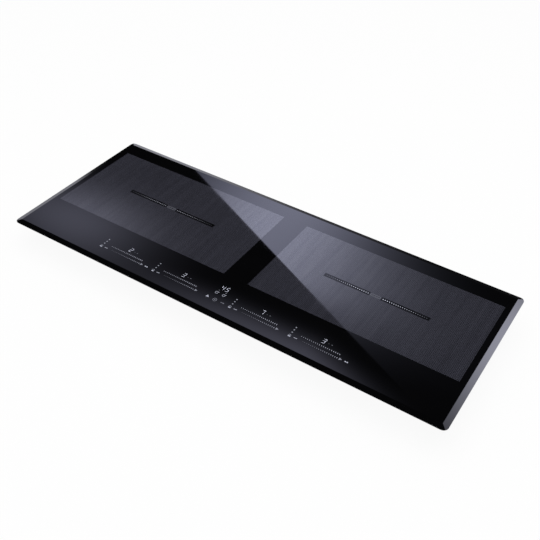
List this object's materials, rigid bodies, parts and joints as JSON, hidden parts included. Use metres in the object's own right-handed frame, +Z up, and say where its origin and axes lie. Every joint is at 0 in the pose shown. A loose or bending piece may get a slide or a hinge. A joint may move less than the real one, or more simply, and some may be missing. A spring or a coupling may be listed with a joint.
{
  "type": "induction cooktop",
  "caption": "Wide built-in electric induction hob: bevelled black glass with two flexible cooking areas and a touch slider strip, over a shallow steel casing with swivel clamps.",
  "frame": {"origin": "middle of the seal's underside, on the worktop plane", "axes": "+X along the width to the user's right, +Y to the back, +Z up out of the worktop; the user stands at -Y"},
  "size_m": [0.9, 0.35, 0.054],
  "materials": {
    "black_glass": "polished black ceramic glass",
    "foam_seal": "matt foam",
    "silicone": "satin",
    "galvanised_sheet": "galvanised",
    "zinc_screw": "zinc plated",
    "zinc_post": "zinc plated",
    "white_plastic": "moulded",
    "circuit_board": "solder mask",
    "display_plastic": "gloss",
    "clear_plastic": "clear moulded",
    "grey_cable": "flat cable",
    "black_plastic": "moulded",
    "terminal_plastic": "moulded",
    "black_rubber": "satin",
    "lead_sheath": "sheathed",
    "tray_aluminium": "mill",
    "sink_aluminium": "extruded",
    "former_plastic": "moulded",
    "copper_wire": "enamelled",
    "ferrite": "sintered",
    "mica": "pressed sheet",
    "sensor_pad": "silicone",
    "capacitor_plastic": "moulded",
    "clamp_steel": "galvanised"
  },
  "bodies": {
    "hob": {"board_connectors_left": "white_plastic", "board_connectors_right": "white_plastic", "board_screws": "zinc_screw", "board_spacers": "white_plastic", "cable_grommet": "black_rubber", "carrier_frame": "galvanised_sheet", "casing": "galvanised_sheet", "casing_screws": "zinc_screw", "clamp_screws": "zinc_screw", "coil_former_1": "former_plastic", "coil_former_2": "former_plastic", "coil_former_3": "former_plastic", "coil_former_4": "former_plastic", "coil_tray_left": "tray_aluminium", "coil_tray_right": "tray_aluminium", "coil_winding_1": "copper_wire", "coil_winding_2": "copper_wire", "coil_winding_3": "copper_wire", "coil_winding_4": "copper_wire", "control_board": "circuit_board", "control_carrier": "white_plastic", "control_posts": "zinc_post", "control_ribbons": "grey_cable", "display_modules": "display_plastic", "fan_housing_left": "black_plastic", "fan_housing_right": "black_plastic", "fan_screws": "zinc_screw", "ferrite_bars_left": "ferrite", "ferrite_bars_right": "ferrite", "film_capacitors_left": "capacitor_plastic", "film_capacitors_right": "capacitor_plastic", "filter_choke_left": "ferrite", "filter_choke_right": "ferrite", "glass_adhesive": "silicone", "glass_top": "black_glass", "heat_sink_left": "sink_aluminium", "heat_sink_right": "sink_aluminium", "mains_leads": "lead_sheath", "mica_discs_left": "mica", "mica_discs_right": "mica", "power_board_left": "circuit_board", "power_board_right": "circuit_board", "power_transistors_left": "black_plastic", "power_transistors_right": "black_plastic", "slider_light_guides": "clear_plastic", "temperature_sensors_left": "sensor_pad", "temperature_sensors_right": "sensor_pad", "terminal_block": "terminal_plastic", "terminal_box": "black_plastic", "tray_posts": "zinc_post", "tray_screws": "zinc_screw", "worktop_seal": "foam_seal"},
    "fan_left": {"fan_rotor_left": "black_plastic"},
    "fan_right": {"fan_rotor_right": "black_plastic"},
    "terminal_lid": {"terminal_cover": "black_plastic"},
    "clamp_front_left": {"worktop_clamp_front_left": "clamp_steel"},
    "clamp_front_right": {"worktop_clamp_front_right": "clamp_steel"},
    "clamp_rear_left": {"worktop_clamp_rear_left": "clamp_steel"},
    "clamp_rear_right": {"worktop_clamp_rear_right": "clamp_steel"}
  },
  "joints": [
    {"name": "fan_left_spin", "type": "hinge", "parent": "hob", "child": "fan_left", "pos_m": [-0.06, 0.03, -0.041], "axis": [0, 0, 1], "continuous": true},
    {"name": "fan_right_spin", "type": "hinge", "parent": "hob", "child": "fan_right", "pos_m": [0.06, 0.03, -0.041], "axis": [0, 0, 1], "continuous": true},
    {"name": "terminal_cover_hinge", "type": "hinge", "parent": "hob", "child": "terminal_lid", "pos_m": [-0.3248, 0.1088, -0.0445], "axis": [-1, 0, 0], "range_deg": [0, 95]},
    {"name": "clamp_front_left_swivel", "type": "hinge", "parent": "hob", "child": "clamp_front_left", "pos_m": [-0.4148, -0.095, -0.0211], "axis": [0, 0, 1], "range_deg": [0, 90]},
    {"name": "clamp_front_right_swivel", "type": "hinge", "parent": "hob", "child": "clamp_front_right", "pos_m": [0.4148, -0.095, -0.0211], "axis": [0, 0, -1], "range_deg": [0, 90]},
    {"name": "clamp_rear_left_swivel", "type": "hinge", "parent": "hob", "child": "clamp_rear_left", "pos_m": [-0.4148, 0.095, -0.0211], "axis": [0, 0, -1], "range_deg": [0, 90]},
    {"name": "clamp_rear_right_swivel", "type": "hinge", "parent": "hob", "child": "clamp_rear_right", "pos_m": [0.4148, 0.095, -0.0211], "axis": [0, 0, 1], "range_deg": [0, 90]}
  ]
}
